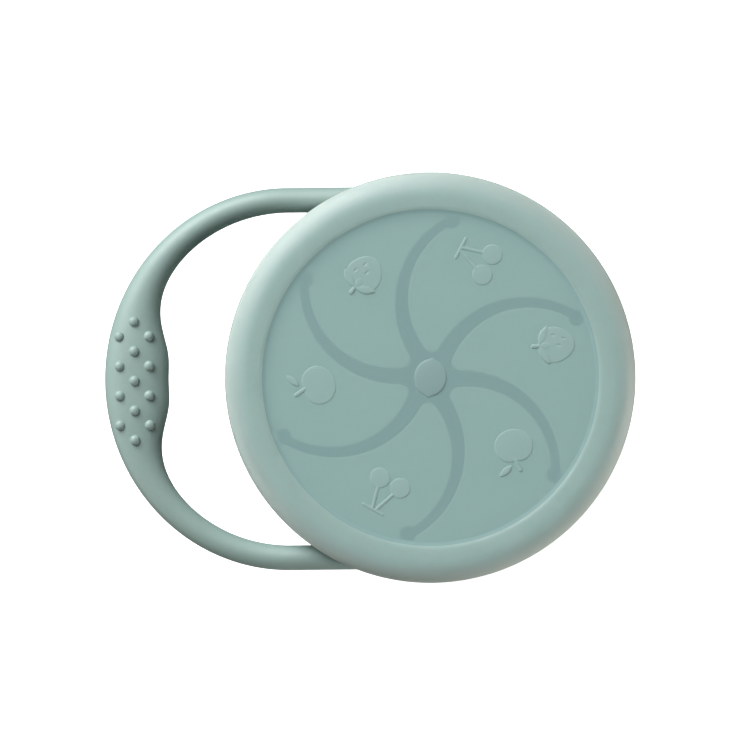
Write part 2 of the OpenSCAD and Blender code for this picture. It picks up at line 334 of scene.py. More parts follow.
# Section outline with a round at each corner (r, z, radius), where the ends of an open one have radius 0.
# An arc leaves each edge where it is tangent, radius / tan(half the corner's angle) away from the corner.
def roundedSection(corners, stepAngle=7):
    corners = np.array(corners, float)
    line = []
    for i, (corner, radius) in enumerate(zip(corners[:, :2], corners[:, 2])):
        if radius == 0:
            line.append(corner[None])
            continue
        before, after = corners[i - 1, :2] - corner, corners[(i + 1) % len(corners), :2] - corner
        before, after = before / np.linalg.norm(before), after / np.linalg.norm(after)
        opening = np.arccos(np.clip(before @ after, -1, 1))
        reach = radius / np.tan(opening / 2)
        middle = before + after
        centre = corner + middle / np.linalg.norm(middle) * radius / np.sin(opening / 2)
        start, end = corner + before * reach - centre, corner + after * reach - centre
        turn = np.pi - opening
        steps = max(2, int(np.ceil(np.degrees(turn) / stepAngle)))
        share = np.linspace(0, 1, steps + 1)[:, None]
        arc = (np.sin((1 - share) * turn) * start + np.sin(share * turn) * end) / np.sin(turn)
        line.append(centre + arc)
    return np.vstack(line)


# Surface of revolution: each section point (r, z) goes round the Z axis at equal angles
def spin(section, sides, closed=False, finish=0):
    angle = np.linspace(0, 2 * np.pi, sides, endpoint=False)
    radius, height = section[:, :1], section[:, 1:2]
    points = np.stack([radius * np.cos(angle), radius * np.sin(angle), height + 0 * angle], axis=-1)
    return points.reshape(-1, 3), gridFaces(len(section), sides, closeRows=closed), finish


# Plane outlines

# Points at equal distances along a closed loop
def resample(loop, spacing):
    closed = np.vstack([loop, loop[:1]])
    run = np.concatenate([[0], np.cumsum(np.linalg.norm(np.diff(closed, axis=0), axis=1))])
    count = int(round(run[-1] / spacing))
    along = np.linspace(0, run[-1], count, endpoint=False)
    return np.column_stack([np.interp(along, run, closed[:, 0]), np.interp(along, run, closed[:, 1])])


def turned(points, degrees):
    c, s = np.cos(np.radians(degrees)), np.sin(np.radians(degrees))
    return points @ np.array([[c, s], [-s, c]])


# Starts and ends of the straight edges of open lines, and of closed loops
def lineEdges(lines):
    return np.vstack([line[:-1] for line in lines]), np.vstack([line[1:] for line in lines])


def loopEdges(loops):
    return np.vstack(loops), np.vstack([np.roll(loop, -1, axis=0) for loop in loops])


# Distance from each point to the nearest of the straight edges a-b
def edgeGap(points, a, b):
    along = b - a
    offset = points[:, None] - a[None]
    share = np.clip((offset * along).sum(-1) / (along ** 2).sum(-1), 0, 1)
    return np.linalg.norm(offset - share[..., None] * along, axis=-1).min(axis=1)


# A point is inside where a line to its right crosses the loops' edges an odd number of times
def insideLoops(points, loops):
    a, b = loopEdges(loops)
    x, y = points[:, :1], points[:, 1:2]
    straddles = (a[:, 1] > y) != (b[:, 1] > y)
    rise = np.where(a[:, 1] == b[:, 1], 1, b[:, 1] - a[:, 1])
    crossing = (b[:, 0] - a[:, 0]) * (y - a[:, 1]) / rise + a[:, 0]
    return (straddles & (x < crossing)).sum(axis=1) % 2 == 1


# Distance to a loop's edge, positive inside it
def edgeDepth(points, loop):
    gap = edgeGap(points, *loopEdges([loop]))
    return np.where(insideLoops(points, [loop]), gap, -gap)


# Points at the corners of equal triangles, over a square of that reach each way
def lattice(reach, spacing):
    steps = np.arange(-reach, reach + spacing, spacing)
    x, y = np.meshgrid(steps, steps * 0.866)
    x = x + (np.arange(len(steps)) % 2)[:, None] * spacing / 2
    return np.column_stack([x.ravel(), y.ravel()])


def nearby(points, outline, reach):
    return np.linalg.norm(points - outline.mean(axis=0), axis=1) < reach


# Triangles over the area between the loops, with the loose points among them
def fillLoops(loops, spots):
    points = np.vstack(loops + [spots])
    starts = np.cumsum([0] + [len(loop) for loop in loops])
    edges = [edge for start, loop in zip(starts, loops)
             for edge in np.column_stack([np.arange(len(loop)), np.roll(np.arange(len(loop)), -1)]) + start]
    flat, _, faces, *_ = delaunay_2d_cdt([Vector(p) for p in points], np.array(edges).tolist(), [], 0, 1e-6)
    flat = np.array([tuple(p) for p in flat])
    faces = np.array([face for face in faces if len(face) == 3])
    middles = flat[faces].mean(axis=1)
    return flat, faces[insideLoops(middles, loops)]


# Cup

cupLook = {
    "footRadius": 34,
    "footRound": 7,
    "recessRadius": 19.5,  # shallow recess under the base
    "recessDepth": 0.6,
    "recessEdge": 22.2,
    "recessRound": 0.8,
    "lean": 8,             # how far the wall leans out, in degrees
    "wall": 2,
    "floorTop": 2.4,
    "collarRadius": 40.5,
    "boreRadius": 38.6,    # inside, where the wall's lean ends
    "boreEase": 9,         # radius of the bend between them
    "throatRadius": 39.4,  # inside the collar, under the mouth
    "throatFall": 0.6,
    "mouthRadius": 41.4,
    "mouthDrop": 2.5,
    "flangeRadius": 46,
    "beadRadius": 0.9,
    "beadHeight": 53.4,
    "beadFoot": 0.25,      # short straight stretch on both sides of the bead
    "sides": 240,
}


# Profile turned round the axis: from the middle of the base out and up to the collar, over the flange,
# and down the inside to the middle of the floor
def buildCup(look):
    footRound, lean, floorTop = look["footRound"], look["lean"], look["floorTop"]
    collar, bore, mouth, throat = (look[key + "Radius"] for key in ("collar", "bore", "mouth", "throat"))
    rim, ledge = level["cupRim"], level["cupRim"] - look["mouthDrop"]
    recess, deep, recessRound = look["recessRadius"], look["recessDepth"], look["recessRound"]
    inRound = footRound - look["wall"]
    footMiddle = look["footRadius"] - footRound
    outArc = arcPoints([footMiddle, footRound], footRound, -90, -lean, 14)
    inArc = arcPoints([footMiddle, floorTop + inRound], inRound, -lean, -90, 12)
    slope = np.tan(np.radians(lean))
    outTop = outArc[-1, 1] + (collar - outArc[-1, 0]) / slope
    inTop = inArc[0, 1] + (bore - inArc[0, 0]) / slope
    beadReach = look["beadRadius"] + look["beadFoot"]
    flange = roundedSection([
        (collar, level["flangeFoot"] - 4, 0), (collar, level["flangeFoot"], 0.35),
        (look["flangeRadius"], level["flangeFoot"], 0.8), (look["flangeRadius"], rim, 1.2),
        (mouth, rim, 0.5), (mouth, ledge, 0.7), (throat, ledge - look["throatFall"], 0.7),
        (bore, inTop + 3, 0)])
    profile = np.vstack([
        [[0, deep], [recess, deep]],
        arcPoints([recess, deep + recessRound], recessRound, -90, -40, 4),
        arcPoints([look["recessEdge"], recessRound], recessRound, -205, -90, 8)[1:],
        outArc,
        straightRun(outArc[-1], [collar, outTop], 24)[1:],
        [[collar, look["beadHeight"] - beadReach]],
        arcPoints([collar, look["beadHeight"]], look["beadRadius"], -82, 82, 12),
        [[collar, look["beadHeight"] + beadReach]],
        flange,
        roundedSection([(bore, inTop + 3, 0), (bore, inTop, look["boreEase"]), (*inArc[0], 0)]),
        inArc[1:],
        [[20, floorTop], [10, floorTop], [0, floorTop]],
    ])
    return spin(profile, look["sides"])


cupBody = makePiece("cupBody", [buildCup(cupLook)], [cupFinish])
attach(cupBody, "cup")
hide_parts("cup_body")


# Carrying loop

loopLook = {
    "armSize": 6.1,
    "armSide": 43.7,       # centre line of each arm from the middle plane
    "armLength": 34.6,
    "bowReach": 44.85,
    "gripWidth": 15.6,
    "gripHeight": 8.8,
    "gripSpread": 24,      # angle from the grip's middle at which half its extra width is left
    "gripPower": 3.5,
    "gripSquareness": 2.3,
    "rootTurn": 26,        # how far round the band each end runs
    "rootSize": 2.4,
    "rootRadius": 42.05,
    "sides": 88,
}


# Half of the loop's stations, from its root to the middle of the grip: centre x and y, inward x and y,
# width and height. The bow's outer edge is an ellipse, and its centre line lies half a width inside it.
# The grip's extra size at angle a is 1 / (1 + (a / spread)^power), brought to 0 where the bow meets the arm.
def halfLoop(look):
    size, side = look["armSize"], look["armSide"]
    t = np.linspace(1, 0, 26)
    angle = np.radians(look["rootTurn"]) * t
    radius = side + (look["rootRadius"] - side) * ease(t)
    rootSize = size + (look["rootSize"] - size) * ease(t)
    root = np.column_stack([radius * np.sin(angle), radius * np.cos(angle), -np.sin(angle), -np.cos(angle),
                            rootSize, rootSize])
    along = np.linspace(0, -look["armLength"], 30)[1:-1]
    arm = np.column_stack([along, np.tile([side, 0, -1, size, size], (len(along), 1))])
    turn = np.concatenate([np.linspace(90, 36, 46)[:-1], np.linspace(36, 0, 61)])
    share = (1 - (turn / 90) ** 6) / (1 + (turn / look["gripSpread"]) ** look["gripPower"])
    width = size + (look["gripWidth"] - size) * share
    height = size + (look["gripHeight"] - size) * share
    c, s = np.cos(np.radians(turn)), np.sin(np.radians(turn))
    outer = side + size / 2
    inward = np.column_stack([c / look["bowReach"], -s / outer])
    inward /= np.linalg.norm(inward, axis=1)[:, None]
    edge = np.column_stack([-look["armLength"] - look["bowReach"] * c, outer * s])
    bow = np.column_stack([edge + inward * width[:, None] / 2, inward, width, height])
    return np.vstack([root, arm, bow])


# Tube along the stations. Its section is a superellipse, |x|^n + |z|^n = 1 scaled to the width and height,
# and n grows from 2 in the arms to the grip's squareness.
def buildLoop(look):
    near = halfLoop(look)
    far = near[-2::-1] * [1, -1, 1, -1, 1, 1]
    stations = np.vstack([near, far])
    around = np.linspace(0, 2 * np.pi, look["sides"], endpoint=False)
    widening = np.clip((stations[:, 4:5] - look["armSize"]) / (look["gripWidth"] - look["armSize"]), 0, 1)
    power = 2 + (look["gripSquareness"] - 2) * widening
    c, s = np.cos(around), np.sin(around)
    reach = (np.abs(c) ** power + np.abs(s) ** power) ** (-1 / power)
    across = reach * c * stations[:, 4:5] / 2
    up = reach * s * stations[:, 5:6] / 2
    points = np.stack([stations[:, 0:1] + across * stations[:, 2:3],
                       stations[:, 1:2] + across * stations[:, 3:4],
                       level["loopMiddle"] + up], axis=-1).reshape(-1, 3)
    cap = np.arange(look["sides"])[None]
    return [(points, gridFaces(len(stations), look["sides"]), 0),
            (points, cap, 0), (points, cap + (len(stations) - 1) * look["sides"], 0)]


carryLoop = makePiece("carryLoop", buildLoop(loopLook), [loopFinish])

# Band round the collar that the loop's ends run into
bandLook = {
    "inside": 40.56,
    "outside": 43.6,
    "insideRound": 0.3,
    "outsideRound": 1.4,
    "gap": 0.05,           # between it and the bead below, and the flange above
    "sides": 240,
}


def buildBand(look):
    foot, top = level["bandFoot"] + look["gap"], level["flangeFoot"] - look["gap"]
    section = roundedSection([
        (look["inside"], foot, look["insideRound"]), (look["outside"], foot, look["outsideRound"]),
        (look["outside"], top, look["outsideRound"]), (look["inside"], top, look["insideRound"])])
    return spin(section, look["sides"], closed=True)


collarBand = makePiece("collarBand", [buildBand(bandLook)], [loopFinish])

bumpLook = {
    "pitch": 7.22,
    "rowGap": 3.6,
    "middleX": -72.05,
    "lean": 0.25,          # share of the grip's own slope that each bump takes
    "radius": 1.2,
    "height": 0.95,
    "squareness": 2.2,
    "root": 0.7,           # how deep each bump's root goes into the grip
    "sides": 40,
}


# Domes in three rows, five in the middle one and four in the others, half a pitch off. A dome is a
# superellipse, (r / radius)^n + (z / height)^n = 1, so its top is broad and its sides are steep.
def buildBumps(look, carrier):
    cap = np.radians(np.linspace(0, 84, 15))
    dome = np.column_stack([np.sin(cap), np.cos(cap)]) ** (2 / look["squareness"])
    foot = np.array([[1.01, 0.06], [1.02, 0], [1.02, -look["root"]]]) * [look["radius"], 1]
    section = np.vstack([dome * [look["radius"], look["height"]], foot, [[0, -look["root"]]]])
    radius, height = section[:, :1, None], section[:, 1:2, None]
    angle = np.linspace(0, 2 * np.pi, look["sides"], endpoint=False)[:, None]
    down, up = Vector((0, 0, -1)), Vector((0, 0, 1))
    bpy.context.view_layer.update()
    shells = []
    for row in (-1, 0, 1):
        for place in np.arange(-2, 3) if row == 0 else np.arange(-1.5, 2):
            above = Vector((look["middleX"] + row * look["rowGap"], place * look["pitch"], 80)) * mm
            _, spot, slope, _ = carrier.ray_cast(above, down)
            normal = up.lerp(slope, look["lean"]).normalized()
            side = normal.cross(Vector((0, 1, 0))).normalized()
            front = normal.cross(side)
            ring = (radius * np.cos(angle) * np.array(side) + radius * np.sin(angle) * np.array(front)
                    + height * np.array(normal))
            points = np.array(spot) / mm + ring
            shells.append((points.reshape(-1, 3), gridFaces(len(section), look["sides"]), 0))
    return shells


gripBumps = makePiece("gripBumps", buildBumps(bumpLook, carryLoop), [loopFinish], 70)
for piece in (carryLoop, collarBand, gripBumps):
    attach(piece, "cup")
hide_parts("handle")


# Flap lid: a ring with six slits that curl in from its relief holes, and a flap between each two slits

lidLook = {
    "flaps": 6,
    "firstSlit": 21.4,     # direction of the first slit's outer end
    "hinge": 34.0,         # distance of each hinge line from the centre
    "holeRadius": 1.9,
    "holeInset": 0.8,      # how far each slit's round end sits inside the corner of the hinge lines
    "aheadCentre": polar(23.6, -33),   # edge of the flap ahead, for a slit that ends on +X
    "aheadRadius": 23.9,
    "behindCentre": polar(24.4, -30),  # edge of the flap behind
    "behindRadius": 20.4,
    "tipRadius": 2.2,
    "edgeRound": 0.45,
    "edgeSteps": (0.012, 0.04, 0.1, 0.18, 0.3, 0.43),   # rows of points over the edge's round
    "bend": 3.2,           # how far in from the hinge line a flap bends
    "ringGrid": 1.3,
    "flapGrid": 1.4,
    "bendGrid": (0.4, 1.0),   # finer where a flap bends: away from its hinge line and along it
    "plateReach": 42.0,
    "skirtInside": 46.3,
    "skirtOutside": 47.9,
    "sides": 360,
}
flapTurn = 360 / lidLook["flaps"]


# Direction of a vector, in degrees from +X
def bearing(v):
    return np.degrees(np.arctan2(v[1], v[0]))


# Crossing of two circles, left of the way from the first centre to the second where side is 1
def circleCross(c0, r0, c1, r1, side):
    apart = np.linalg.norm(c1 - c0)
    along = (r0 ** 2 - r1 ** 2 + apart ** 2) / (2 * apart)
    way = (c1 - c0) / apart
    return c0 + along * way + side * np.sqrt(r0 ** 2 - along ** 2) * np.array([-way[1], way[0]])


# Points a little inside an open soft edge, at each of the steps of its round
def softRows(edge, steps, inward):
    slope = np.gradient(edge, axis=0)
    normal = np.column_stack([-slope[:, 1], slope[:, 0]]) * inward
    normal /= np.linalg.norm(normal, axis=1)[:, None]
    return [(edge + normal * step, step) for step in steps]


# Plate with a quarter round of that radius along its soft edges, above and below:
# the drop at distance d from a soft edge is r - sqrt(r^2 - (r - d)^2)
def buildPlate(loops, softEdges, spots, edgeRound):
    foot, top = level["cupRim"], level["lidTop"]

    def drop(points):
        near = np.clip(1 - edgeGap(points, *lineEdges(softEdges)) / edgeRound, 0, 1)
        return edgeRound * (1 - np.sqrt(1 - near ** 2))

    flat, faces = fillLoops(loops, spots)
    fall = drop(flat)[:, None]
    shells = [(np.hstack([flat, top - fall]), faces, 0), (np.hstack([flat, foot + fall]), faces[:, ::-1], 0)]
    for loop in loops:
        fall = drop(loop)
        heights = (top - fall, np.full_like(fall, (top + foot) / 2), foot + fall)
        rows = [np.column_stack([loop, height]) for height in heights]
        shells.append((np.vstack(rows), gridFaces(3, len(loop)), 0))
    return shells


# Row points that keep their own distance from every soft edge
def rowSpots(rows, loops, softEdges):
    a, b = lineEdges(softEdges)
    kept = np.vstack([points[np.abs(edgeGap(points, a, b) - step) < 0.01] for points, step in rows])
    return kept[insideLoops(kept, loops)]


# Grid points inside the loops and clear of their edges
def gridSpots(points, loops, clearance):
    gap = edgeGap(points, *loopEdges(loops))
    return points[insideLoops(points, loops) & (gap > clearance)]


# Centre of a slit's round end on +X, and the point where it leaves the hinge line of the flap behind
def slitEnd(look):
    half = flapTurn / 2
    spot = np.array([look["hinge"] / np.cos(np.radians(half)) - look["holeInset"], 0])
    offset = look["hinge"] - spot @ polar(1, -half)
    halfChord = np.sqrt(look["holeRadius"] ** 2 - offset ** 2)
    return spot, spot + polar(offset, -half) - polar(halfChord, 90 - half)


# Plate with the six flaps cut out of it: each sector of the cut goes round a slit's end, back along the
# curl, and down the hinge line to the next slit's end
def buildFlapRing(look):
    half = flapTurn / 2
    corner, leaving = slitEnd(look)
    reach, outside, inside = look["plateReach"], look["skirtOutside"], look["skirtInside"]
    curlStart = circleCross(corner, look["holeRadius"], look["aheadCentre"], look["aheadRadius"], -1)
    hinge = polar(look["hinge"], half)
    way = polar(1, half + 90)
    # where the curl's circle crosses the hinge line of the flap ahead
    offset = look["aheadCentre"] - hinge
    middle = offset @ way
    span = np.sqrt(look["aheadRadius"] ** 2 - (offset @ offset - middle ** 2))
    curlEnd = hinge + way * (middle + span)
    hole = arcPoints(corner, look["holeRadius"], bearing(leaving - corner), bearing(curlStart - corner), 34)
    curl = arcPoints(look["aheadCentre"], look["aheadRadius"], bearing(curlStart - look["aheadCentre"]),
                     bearing(curlEnd - look["aheadCentre"]), 10)
    nextHole = turned(hole[:1], flapTurn)[0]
    chord = straightRun(curlEnd, nextHole, 40)[1:-1]
    sector = np.vstack([hole, curl[1:], chord])
    turns = look["firstSlit"] + np.arange(look["flaps"]) * flapTurn
    inner = np.vstack([turned(sector, turn) for turn in turns])
    soft = [turned(np.vstack([hole, curl[1:]]), turn) for turn in turns]
    outer = arcPoints([0, 0], reach, 0, 360, look["sides"])[:-1]
    loops = [outer, inner]
    rows = [row for edge in soft for row in softRows(edge, look["edgeSteps"], -1)]
    spots = np.vstack([rowSpots(rows, loops, soft),
                       gridSpots(lattice(reach, look["ringGrid"]), loops, 0.95)])
    shells = buildPlate(loops, soft, spots, look["edgeRound"])
    shells = shells[:2] + shells[3:]   # the outer loop is closed by the skirt instead
    skirt = roundedSection([
        (reach, level["lidTop"], 0), (outside, level["lidTop"], 1.5), (outside, level["skirtFoot"], 0.5),
        (inside, level["skirtFoot"], 0.5), (inside, level["cupRim"], 1.2), (reach, level["cupRim"], 0)])
    return shells + [spin(skirt, look["sides"])]


# Outline of the flap whose hinge line faces +X: round the end of the slit behind it, along that slit,
# round its tip, and back along the slit ahead
def flapEdge(look):
    half, x = flapTurn / 2, look["hinge"]
    ahead, behind, tipRound = look["aheadRadius"], look["behindRadius"], look["tipRadius"]
    lead, trail = turned(look["aheadCentre"], -half), turned(look["behindCentre"], half)
    leadEnd = np.array([x, lead[1] + np.sqrt(ahead ** 2 - (x - lead[0]) ** 2)])
    hole, trailEnd = (turned(spot, half) for spot in slitEnd(look))
    bite = circleCross(hole, look["holeRadius"], trail, behind, -1)
    tip = circleCross(trail, behind - tipRound, lead, ahead + tipRound, -1)
    return np.vstack([
        arcPoints(hole, look["holeRadius"], bearing(trailEnd - hole), bearing(bite - hole), 16),
        arcPoints(trail, behind, bearing(bite - trail), bearing(tip - trail), 90)[1:],
        arcPoints(tip, tipRound, bearing(tip - trail), bearing(tip - lead) + 180, 22)[1:],
        arcPoints(lead, ahead, bearing(tip - lead), bearing(leadEnd - lead), 80)[1:]])


def buildFlap(look, turn):
    edge = flapEdge(look)
    root = straightRun(edge[-1], edge[0], 32)[1:-1]
    loop = np.vstack([edge, root])
    stepIn, stepAlong = look["bendGrid"]
    x = np.arange(look["hinge"] - stepIn, look["hinge"] - look["bend"] - 1.5, -stepIn)
    y = np.arange(-20, 20, stepAlong)
    bend = np.column_stack([np.repeat(x, len(y)), np.tile(y, len(x))])
    field = lattice(36, look["flapGrid"])
    field = field[field[:, 0] < x[-1] - 0.6]
    spots = np.vstack([rowSpots(softRows(edge, look["edgeSteps"], 1), [loop], [edge]),
                       gridSpots(bend, [loop], 0.9), gridSpots(field, [loop], 0.9)])
    return [(np.hstack([turned(points[:, :2], turn), points[:, 2:]]), faces, finish)
            for points, faces, finish in buildPlate([loop], [edge], spots, look["edgeRound"])]


flapRing = makePiece("flapRing", buildFlapRing(lidLook), [lidFinish])
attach(flapRing, "flap_lid")
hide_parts("flap_ring")
for number in range(1, lidLook["flaps"] + 1):
    turn = lidLook["firstSlit"] + (number - 0.5) * flapTurn
    flap = makePiece(f"flap{number}", buildFlap(lidLook, turn), [lidFinish])
    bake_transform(flap)
    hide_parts(f"petal_{number}")


# Dust cover: a clear panel with fruit figures in relief, inside a rolled rim with a skirt

coverLook = {
    "panelReach": 39.83,
    "stepStart": 39.9,     # the low step where the panel meets the rim
    "stepRun": 1.85,
    "stepRise": 0.28,
    "clearReach": 40.75,   # the see-through finish ends on the step
    "crest": 44.2,         # where the rim is highest and its outer roll begins
    "outside": 50.0,
    "rollDrop": 4.6,
    "skirtInside": 48.2,
    "roof": 65.9,          # height of the hollow between the skirt and the seat
    "seat": (41.7, 46.2),  # ring that rests on the spill lid, and its gap
    "seatGap": 0.06,
    "sides": 360,
}
reliefLook = {
    "height": 0.19,
    "footRound": 0.04,
    "edgeRound": 0.72,
    "crown": 0.1,
    "crownReach": 1.6,
    "lemonDome": (0.25, 4.5),   # height and reach of the swelling in the middle of the lemon
    "seedDepth": 0.14,
    "seedSlope": (0.12, 0.34),  # how far outside a seed's edge its dent starts, and its run to the full depth
    "figureReach": 9,      # no figure reaches further from its middle
    "seedReach": 2,
    "outlineStep": 0.2,
    "seedStep": 0.1,
    "rows": (-0.32, -0.2, -0.12, -0.05, -0.012, 0.012, 0.05, 0.12, 0.22, 0.4, 0.62),   # depths of points
    "seedRings": (0.25, 0.6, 1.0, 1.4),   # rings of points, against the size of a seed's outline
    "fineGrid": 0.45,
    "fineBand": (0.75, 1.9),   # how far from the figures' edges the fine grid is kept
    "coarseGrid": 1.5,
    "coarseGap": 2.2,
}
fruitLook = {
    "berry": (4.3, 0.2),   # radius of a strawberry, and how far its three lobes stand out
    "berryStem": ((0, 4.2), (0, 5.6), 1.0),   # start, end and width; the sepals start there too
    "sepals": ((5.2, 2.0, -26), (5.2, 2.0, 206), (3.2, 2.0, -92)),   # length, width and turn
    "berryLift": 0.16,     # of its stem and sepals
    "seed": (1.2, 0.55, 82),
    "seeds": ((2.25, 0.0), (1.25, -2.5), (-0.3, -1.1)),
    "apple": (4.4, 0.28),  # radius and flattening
    "notch": (0.45, 22),   # depth, and width in degrees
    "appleStem": ((0.2, 3.2), (-0.65, 6.0), 0.95),
    "appleLeaf": (4.0, 1.6, 32),
    "leafSpot": (1.2, 4.6),
    "appleLift": 0.1,      # of its stem and leaf
    "cherry": 2.45,
    "cherries": ((0.2, 2.2, -7.5), (-0.6, -3.3, -7.65)),   # where each stem starts, and its cherry
    "twig": 2.6,           # half the length of the twig that the stems hang from
    "stemWidth": 0.75,
    "stemLift": 0.05,
    "lemon": (7.7, 8.9),   # width and length
    "nub": (0.36, 7, 8),   # height of the lemon's end points, and their widths in degrees
    "lemonLift": 0.02,
}


# Closed outlines round the origin, drawn from +Y clockwise: a point at angle a is radius * (sin a, cos a).
# The radius depends on a in radians and on fold, the same angle in degrees between -180 and 180.
def roundOutline(radius, steps=144):
    angle = np.linspace(0, 360, steps, endpoint=False)
    reach = radius(np.radians(angle), np.where(angle > 180, angle - 360, angle))
    return np.column_stack([np.sin(np.radians(angle)), np.cos(np.radians(angle))]) * reach[:, None]


# Pointed leaf from the origin along +X, bounded by two arcs of equal radius
def leafOutline(length, width, steps=24):
    radius = (length ** 2 + width ** 2) / (4 * width)
    x = length / 2 * (1 - np.cos(np.linspace(0, np.pi, steps)))
    y = np.sqrt(radius ** 2 - (x - length / 2) ** 2) - (radius - width / 2)
    return np.vstack([np.column_stack([x, y]), np.column_stack([x, -y])[-2:0:-1]])


# Bar from a to b with round ends
def barOutline(a, b, width):
    a, b = np.array(a, float), np.array(b, float)
    turn = bearing(b - a)
    return np.vstack([arcPoints(a, width / 2, turn + 90, turn + 270, 8),
                      arcPoints(b, width / 2, turn - 90, turn + 90, 8)])


def placed(outline, place, turn):
    return turned(outline, turn) + np.array(place)


# Each fruit is a list of (outline, lift above the common height) with its stem end up; seeds are dents
def fruitShapes(look):
    radius, lobes = look["berry"]
    root, lift = look["berryStem"][0], look["berryLift"]
    strawberry = [(roundOutline(lambda a, fold: radius - lobes * np.cos(3 * a)), 0)]
    strawberry += [(placed(leafOutline(length, width), root, turn), lift)
                   for length, width, turn in look["sepals"]]
    strawberry += [(barOutline(*look["berryStem"]), lift)]
    length, width, turn = look["seed"]
    seeds = [placed(leafOutline(length, width), spot, turn) for spot in look["seeds"]]

    # a squashed circle with a notch where the stem is
    def appleRadius(a, fold):
        radius, flatness = look["apple"]
        depth, width = look["notch"]
        return radius - flatness * np.cos(2 * a) - depth * np.exp(-(fold / width) ** 2)

    length, width, turn = look["appleLeaf"]
    apple = [(roundOutline(appleRadius), 0), (barOutline(*look["appleStem"]), look["appleLift"]),
             (placed(leafOutline(length, width), look["leafSpot"], turn), look["appleLift"])]

    twig, thick, rise = look["twig"], look["stemWidth"], look["stemLift"]
    cherries = [(barOutline((-twig, 0), (twig, 0), thick), rise)]
    for start, x, y in look["cherries"]:
        cherries += [(roundOutline(lambda a, fold: np.full_like(a, look["cherry"])) + [x, y], 0),
                     (barOutline((start, 0), (x, y), thick), rise)]

    # an ellipse with a small point at each end
    def lemonRadius(a, fold):
        width, length = look["lemon"]
        nub, upper, lower = look["nub"]
        points = np.exp(-(fold / upper) ** 2) + np.exp(-((180 - np.abs(fold)) / lower) ** 2)
        return 0.5 / np.sqrt((np.sin(a) / width) ** 2 + (np.cos(a) / length) ** 2) + nub * points

    lemon = [(roundOutline(lemonRadius), look["lemonLift"])]
    return {"strawberry": strawberry, "apple": apple, "cherries": cherries, "lemon": lemon}, seeds


fruitPlaces = [             # kind, middle and turn
    ("lemon", (0, 0), -7.6),
    ("strawberry", (-15.63, 25.32), 142.4),
    ("strawberry", (30.6, 7.72), 94.4),
    ("apple", (-27.15, -1.5), 107.4),
    ("apple", (20, -16.82), -170.6),
    ("cherries", (7.7, 31.33), 61.4),
    ("cherries", (-14.26, -31.75), 150.4),
]


# Relief over the edge of a shape: a foot that curves up to the edge, then a quarter round on to the top,
# and a slight crown inside
def reliefRise(depth, top, look):
    foot, edge = look["footRound"], look["edgeRound"]
    rising = foot * (1 - np.sqrt(1 - np.clip(1 + depth / foot, 0, 1) ** 2))
    turning = foot + (top - foot) * np.sqrt(1 - np.clip(1 - depth / edge, 0, 1) ** 2)
    crown = look["crown"] * (1 - np.exp(-np.clip(depth - edge, 0, None) / look["crownReach"]))
    return np.where(depth < 0, rising, turning + crown)


# Height over the panel: the highest of the figures, plus the lemon's dome, 1 - (r / reach)^2, less the seeds
def panelRelief(points, shapes, dents, look):
    rise = np.zeros(len(points))
    for outline, lift in shapes:
        near = nearby(points, outline, look["figureReach"])
        depth = edgeDepth(points[near], outline)
        rise[near] = np.maximum(rise[near], reliefRise(depth, look["height"] + lift, look))
    dome, reach = look["lemonDome"]
    rise += dome * np.clip(1 - (np.linalg.norm(points, axis=1) / reach) ** 2, 0, 1)
    outside, run = look["seedSlope"]
    for outline in dents:
        near = nearby(points, outline, look["seedReach"])
        depth = edgeDepth(points[near], outline)
        rise[near] -= look["seedDepth"] * ease(np.clip((depth + outside) / run, 0, 1))
    return rise


# Distance to the nearest figure's edge, up to that reach
def figureGap(points, shapes, reach):
    gap = np.full(len(points), float(reach))
    for outline, _ in shapes:
        near = nearby(points, outline, reach)
        gap[near] = np.minimum(gap[near], np.abs(edgeDepth(points[near], outline)))
    return gap


# Flat triangles with rows of points along every figure's edge, lifted by the relief
def buildCoverPanel(look, relief):
    kinds, seeds = fruitShapes(fruitLook)
    reach = relief["figureReach"]
    shapes, dents = [], []
    for kind, place, turn in fruitPlaces:
        shapes += [(resample(placed(outline, place, turn), relief["outlineStep"]), lift)
                   for outline, lift in kinds[kind]]
        if kind == "strawberry":
            dents += [resample(placed(seed, place, turn), relief["seedStep"]) for seed in seeds]
    border = arcPoints([0, 0], look["panelReach"], 0, 360, look["sides"])[:-1]
    rows = []
    for outline, _ in shapes:
        slope = np.roll(outline, -1, axis=0) - np.roll(outline, 1, axis=0)
        inward = np.column_stack([-slope[:, 1], slope[:, 0]])
        inward /= np.linalg.norm(inward, axis=1)[:, None]
        if edgeDepth(outline[:1] + inward[:1] * 0.02, outline)[0] < 0:
            inward = -inward
        for step in relief["rows"]:
            row = outline + inward * step
            rows.append(row[np.abs(edgeDepth(row, outline) - step) < 0.02])
    for outline in dents:
        middle = outline.mean(axis=0)
        rows += [middle + (outline - middle) * size for size in relief["seedRings"]]
    fine, coarse = lattice(41, relief["fineGrid"]), lattice(41, relief["coarseGrid"])
    gap = figureGap(fine, shapes, reach)
    fine = fine[(gap > relief["fineBand"][0]) & (gap < relief["fineBand"][1])]
    isLoose = figureGap(coarse, shapes, reach) > relief["coarseGap"]
    coarse = coarse[isLoose & (np.linalg.norm(coarse, axis=1) < look["panelReach"] - 0.8)]
    spots = np.vstack([*rows, fine, coarse])
    _, kept = np.unique(np.round(spots / 0.03), axis=0, return_index=True)   # thins out crowded points
    flat, faces = fillLoops([border], spots[kept])
    height = level["panelTop"] + panelRelief(flat, shapes, dents, relief)
    middles = flat[faces].mean(axis=1)
    isFigure = np.zeros(len(faces), bool)
    for outline, _ in shapes:
        near = nearby(middles, outline, reach)
        isFigure[near] |= insideLoops(middles[near], [outline])
    points = np.hstack([flat, height[:, None]])
    return [(points, faces[~isFigure], 1), (points, faces[isFigure], 3)]


